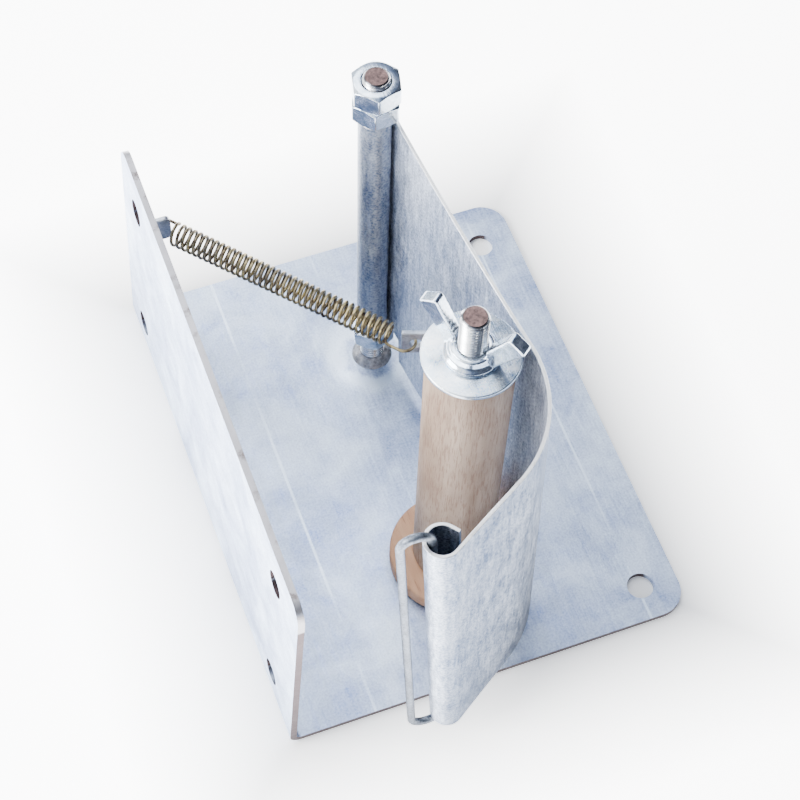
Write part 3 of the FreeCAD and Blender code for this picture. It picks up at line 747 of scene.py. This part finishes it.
# %%
SWAPS = (
    (pivot_stud, "pivot_stud", "base", pivot_steel, "threaded_rod"),
    (pivot_weld, "pivot_weld", "base", weld_steel, "weld_metal"),
    (support_nut, "pivot_support_nut", "base", hardware_zinc, "zinc_hardware"),
    (lower_nut, "pivot_nut", "base", hardware_zinc, "zinc_hardware"),
    (lock_nut, "pivot_lock_nut", "base", hardware_zinc, "zinc_hardware"),
    (spool_stud, "spool_stud", "base", spool_steel, "threaded_rod"),
    (spool_weld, "spool_weld", "base", weld_steel, "weld_metal"),
    (flange_strip, "flange_spring_tab", "base", strip_zinc, "galvanised_sheet"),
    (flap, "brake_flap", "flap", flap_zinc, "flap_sheet"),
    (flap_strip, "flap_spring_tab", "flap", strip_zinc, "flap_sheet"),
    (loop, "wire_guide_loop", "flap", wire_zinc, "galvanised_wire"),
    (disc, "spool_disc", "spool", red_wood, "red_wood"),
    (core, "spool_core", "spool", beech, "pale_wood"),
    (washer, "clamp_washer", "washer", washer_zinc, "zinc_hardware"),
    (wing_nut, "wing_nut", "wing", hardware_zinc, "zinc_hardware"),
)
for piece, node, body, material, slot in SWAPS:
    piece.data.materials.clear()
    piece.data.materials.append(material)
    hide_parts(node)
    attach(piece, body)

spring.data.materials.clear()
spring.data.materials.append(spring_zinc)
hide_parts("extension_spring", "spring_hook")
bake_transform(spring)

plate = NODES["base_plate"]
for holder in plate.material_slots:
    holder.link = "OBJECT"
    holder.material = plate_zinc
print(len(SWAPS) + 2, "pieces")

# %% [markdown]
# ## Camera

# %%
camera_data = bpy.data.cameras.new("camera")
camera = bpy.data.objects.new("camera", camera_data)
bpy.context.scene.collection.objects.link(camera)
bpy.context.scene.camera = camera
CAMERA_AT = Vector((-0.116458, -0.280059, 0.545239))
ahead = Vector((0.172894, 0.427625, -0.887268)).normalized()
right = ahead.cross(Vector((0.298269, 0.835804, 0.460942))).normalized()
above = right.cross(ahead)
turned_to = Matrix((right, above, -ahead)).transposed().to_4x4()
camera.matrix_world = Matrix.Translation(CAMERA_AT) @ turned_to
camera_data.lens = 86.147
camera_data.sensor_width = 36.0
camera_data.shift_x = 0.01311
camera_data.shift_y = 0.13419
camera_data.dof.use_dof = False
print("camera", [round(v, 3) for v in CAMERA_AT])

# %% [markdown]
# ## Studio
# A pale floor that glows away from the object, a sky that is bright high on the flange's side
# and dim low on the other, and two large soft lights.

# %%
HALF_WIDTH = 66 * MM
HALF_LENGTH = 82 * MM
GLOW_FROM = -3 * MM
GLOW_TO = 50 * MM
GLOW_UNDER = 0.1
GLOW_AWAY = 8.0
SKY_STRENGTH = 2.2


def studio_sky():
    world = bpy.data.worlds.new("studio")
    bpy.context.scene.world = world
    world.use_nodes = True
    tree = world.node_tree
    coord = tree.nodes.new("ShaderNodeTexCoord")
    lobe = tree.nodes.new("ShaderNodeVectorMath")
    lobe.operation = "DOT_PRODUCT"
    lobe.inputs[1].default_value = Vector((-0.75, 0.40, 0.52)).normalized()
    ramp = tree.nodes.new("ShaderNodeValToRGB")
    tree.links.new(coord.outputs["Generated"], lobe.inputs[0])
    tree.links.new(lobe.outputs["Value"], ramp.inputs[0])
    stops = ramp.color_ramp.elements
    stops[0].position, stops[0].color = 0.0, (0.03, 0.036, 0.055, 1)
    stops[1].position, stops[1].color = 1.0, (1.0, 1.0, 1.0, 1)
    stops.new(0.30).color = (0.10, 0.125, 0.19, 1)
    stops.new(0.42).color = (0.33, 0.40, 0.56, 1)
    stops.new(0.58).color = (0.92, 0.97, 1.0, 1)
    background = tree.nodes["Background"]
    tree.links.new(ramp.outputs[0], background.inputs[0])
    background.inputs[1].default_value = SKY_STRENGTH


def soft_light(name, place, aim, size, power, color):
    light = bpy.data.lights.new(name, "AREA")
    light.energy, light.size, light.color = power, size, color
    holder = bpy.data.objects.new(name, light)
    bpy.context.scene.collection.objects.link(holder)
    holder.location = place
    holder.rotation_euler = (Vector(aim) - Vector(place)).to_track_quat("-Z", "Y").to_euler()
    return holder


def studio_floor():
    bpy.ops.mesh.primitive_plane_add(size=8, location=(0, 0, 0))
    floor = bpy.context.object
    floor.name = "floor"
    paint = Paint("studio_floor")
    far = paint.sum("SUBTRACT", paint.sum("ABSOLUTE", paint.axis("Object", "X"), 0.0), HALF_WIDTH)
    along = paint.sum("SUBTRACT", paint.sum("ABSOLUTE", paint.axis("Object", "Y"), 0.0), HALF_LENGTH)
    outside = paint.sum("MAXIMUM", far, along)
    glow = paint.between(outside, GLOW_FROM, GLOW_TO, GLOW_UNDER, GLOW_AWAY)
    paint.feed(paint.shader, {"Emission Color": grey(1.0), "Emission Strength": glow})
    floor.data.materials.append(paint.finish(grey(0.93), 0.0, 0.8))
    return floor


studio_sky()
studio_floor()
soft_light("key", (-0.8, 0.05, 0.6), (0, 0, 0.05), 0.5, 20, (1.0, 0.99, 0.97))
soft_light("top", (-0.15, 0.55, 1.0), (0, 0, 0.1), 0.8, 10, (0.95, 0.97, 1.0))
